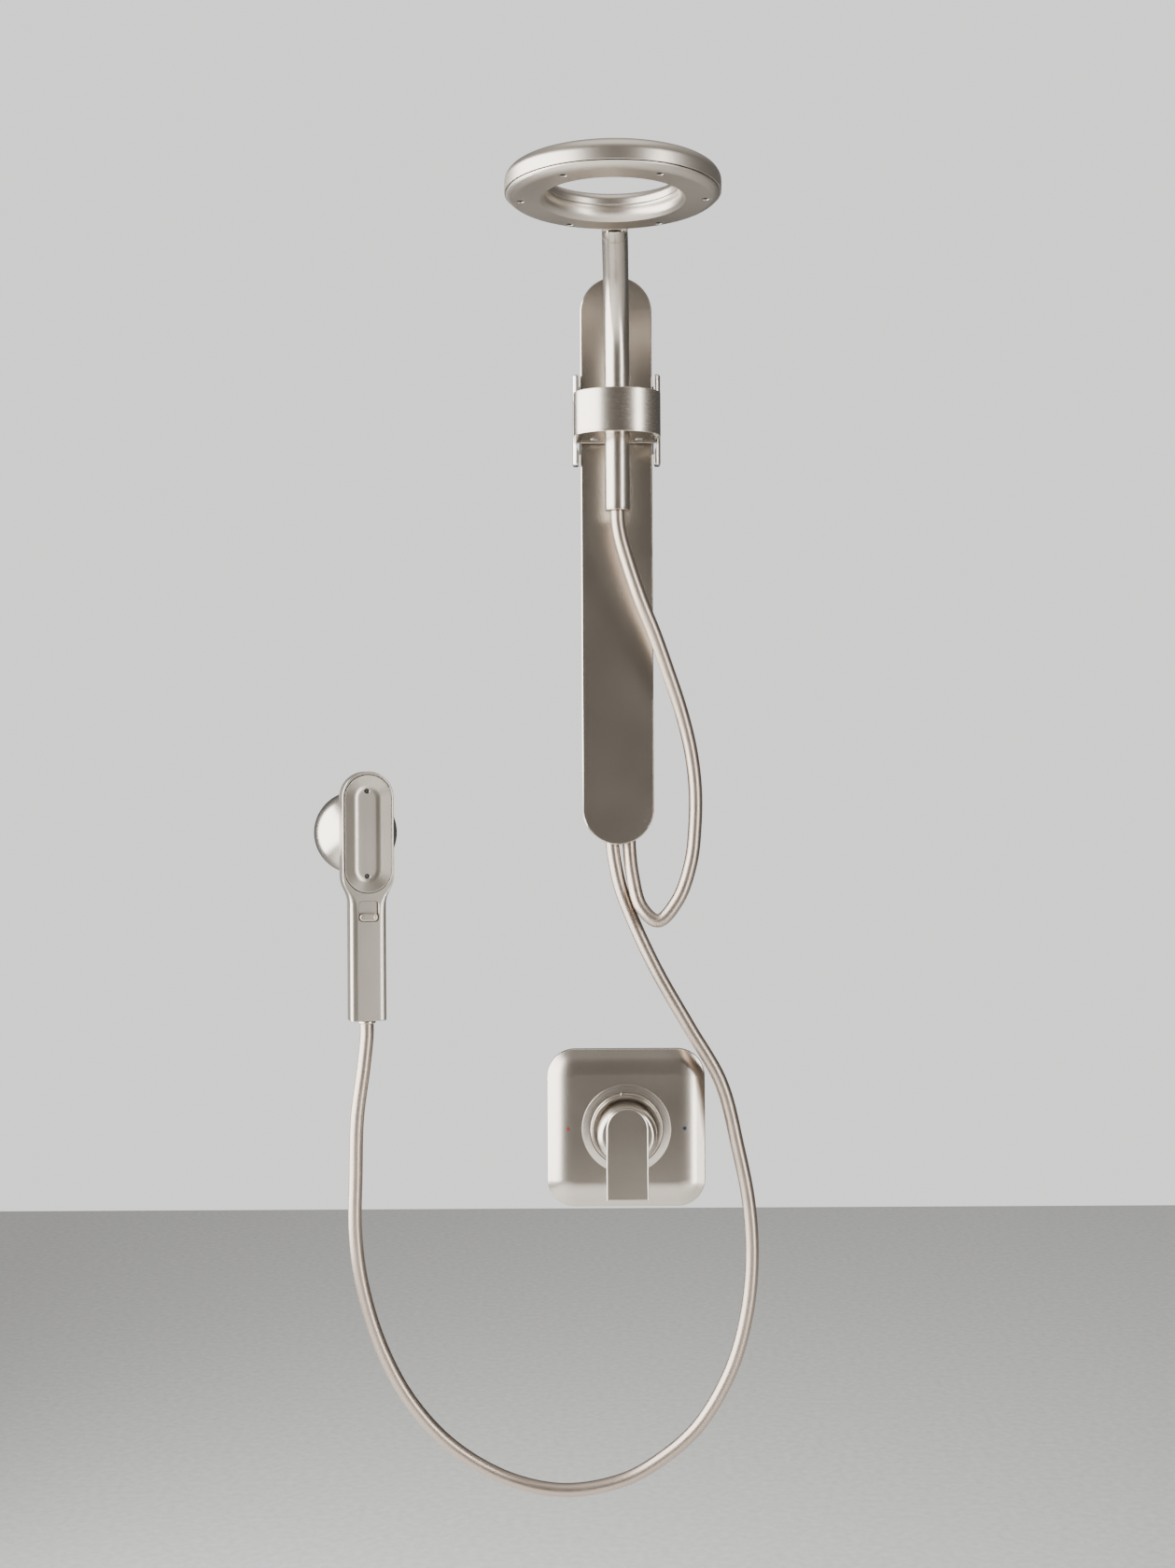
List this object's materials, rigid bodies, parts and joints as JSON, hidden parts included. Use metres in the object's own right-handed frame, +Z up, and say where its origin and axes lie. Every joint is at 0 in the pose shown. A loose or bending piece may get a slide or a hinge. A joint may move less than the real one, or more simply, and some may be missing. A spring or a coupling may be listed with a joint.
{
  "type": "wall shower set",
  "caption": "Slide-rail shower set: ring-shaped rain head on a swivel arm, magnetically docked hand shower, hoses and a valve trim with a lever.",
  "frame": {"origin": "the rail's lower wall bracket: the middle of its back face, on the finished wall", "axes": "+X right along the wall, +Y into the wall, +Z up along the rail"},
  "size_m": [0.4621, 0.3874, 1.2878],
  "materials": {
    "nickel_steel": "brushed nickel",
    "nickel_aluminium": "brushed nickel",
    "nickel_plated_plastic": "satin nickel plating",
    "hose_skin": "smooth metallic hose skin",
    "spine_aluminium": "plain extruded",
    "steel": "plain",
    "brass": "plain",
    "dark_plastic": "moulded",
    "rubber": "moulded",
    "hot_enamel": "enamel",
    "cold_enamel": "enamel"
  },
  "bodies": {
    "wall_set": {"rail_front_plate": "nickel_aluminium", "rail_spine": "spine_aluminium", "wall_bracket_upper": "steel", "wall_bracket_lower": "steel", "wall_screw_upper_left": "steel", "wall_screw_upper_right": "steel", "wall_screw_lower_left": "steel", "wall_screw_lower_right": "steel", "manifold_body": "brass", "inlet_flange": "brass", "hose_nut_rain": "nickel_steel", "hose_nut_hand": "nickel_steel", "dock_dome": "nickel_aluminium", "dock_wall_plate": "steel", "dock_screw": "steel", "dock_magnet": "steel", "escutcheon_gasket": "rubber", "escutcheon": "nickel_steel", "hot_marker": "hot_enamel", "cold_marker": "cold_enamel", "trim_collar": "nickel_steel", "cartridge_stem": "brass", "rain_hose": "hose_skin", "hand_hose": "hose_skin"},
    "carriage": {"carriage_frame": "nickel_aluminium", "glide_pad_left": "dark_plastic", "glide_pad_right": "dark_plastic", "brake_pad": "dark_plastic", "dock_drum": "nickel_aluminium", "drum_cap": "nickel_aluminium", "drum_screw_left": "steel", "drum_screw_right": "steel", "arm_bushing": "dark_plastic"},
    "arm": {"arm_tube": "nickel_steel", "arm_end_collar": "nickel_steel", "tilt_fork": "nickel_steel", "tilt_pin": "steel"},
    "ring_head": {"ring_upper_shell": "nickel_plated_plastic", "ring_lower_shell": "nickel_plated_plastic", "ring_gasket": "rubber", "rain_nozzle_1": "dark_plastic", "rain_nozzle_2": "dark_plastic", "rain_nozzle_3": "dark_plastic", "rain_nozzle_4": "dark_plastic", "rain_nozzle_5": "dark_plastic", "rain_nozzle_6": "dark_plastic", "tilt_tongue": "nickel_steel"},
    "hand_shower": {"wand_shell": "nickel_plated_plastic", "wand_keeper": "steel", "wand_face_plate": "nickel_plated_plastic", "wand_nozzle_upper": "dark_plastic", "wand_nozzle_lower": "dark_plastic", "wand_hose_connector": "nickel_steel"},
    "spray_selector": {"spray_switch": "nickel_plated_plastic"},
    "lever": {"lever_hub": "nickel_steel", "lever_blade": "nickel_steel", "lever_set_screw": "steel"}
  },
  "joints": [
    {"name": "carriage_slide", "type": "slide", "parent": "wall_set", "child": "carriage", "axis": [0, 0, 1], "range_m": [-0.355, 0.065], "deforming": ["rain_hose"]},
    {"name": "arm_swivel", "type": "hinge", "parent": "carriage", "child": "arm", "pos_m": [0, -0.075, 0.329], "axis": [0, 0, 1], "range_deg": [-30, 30]},
    {"name": "head_tilt", "type": "hinge", "parent": "arm", "child": "ring_head", "pos_m": [-0.00314, -0.18095, 0.4891], "axis": [0.9996, -0.0297, 0], "range_deg": [-15, 15]},
    {"name": "wand_undock", "type": "slide", "parent": "wall_set", "child": "hand_shower", "axis": [0.309, -0.9511, 0], "range_m": [0, 0.08], "deforming": ["hand_hose"]},
    {"name": "spray_switch_slide", "type": "slide", "parent": "hand_shower", "child": "spray_selector", "axis": [0, 0, 1], "range_m": [0, 0.0115]},
    {"name": "lever_turn", "type": "hinge", "parent": "wall_set", "child": "lever", "pos_m": [0.007, -0.04, -0.407], "axis": [0, -1, 0], "range_deg": [0, 270]}
  ]
}
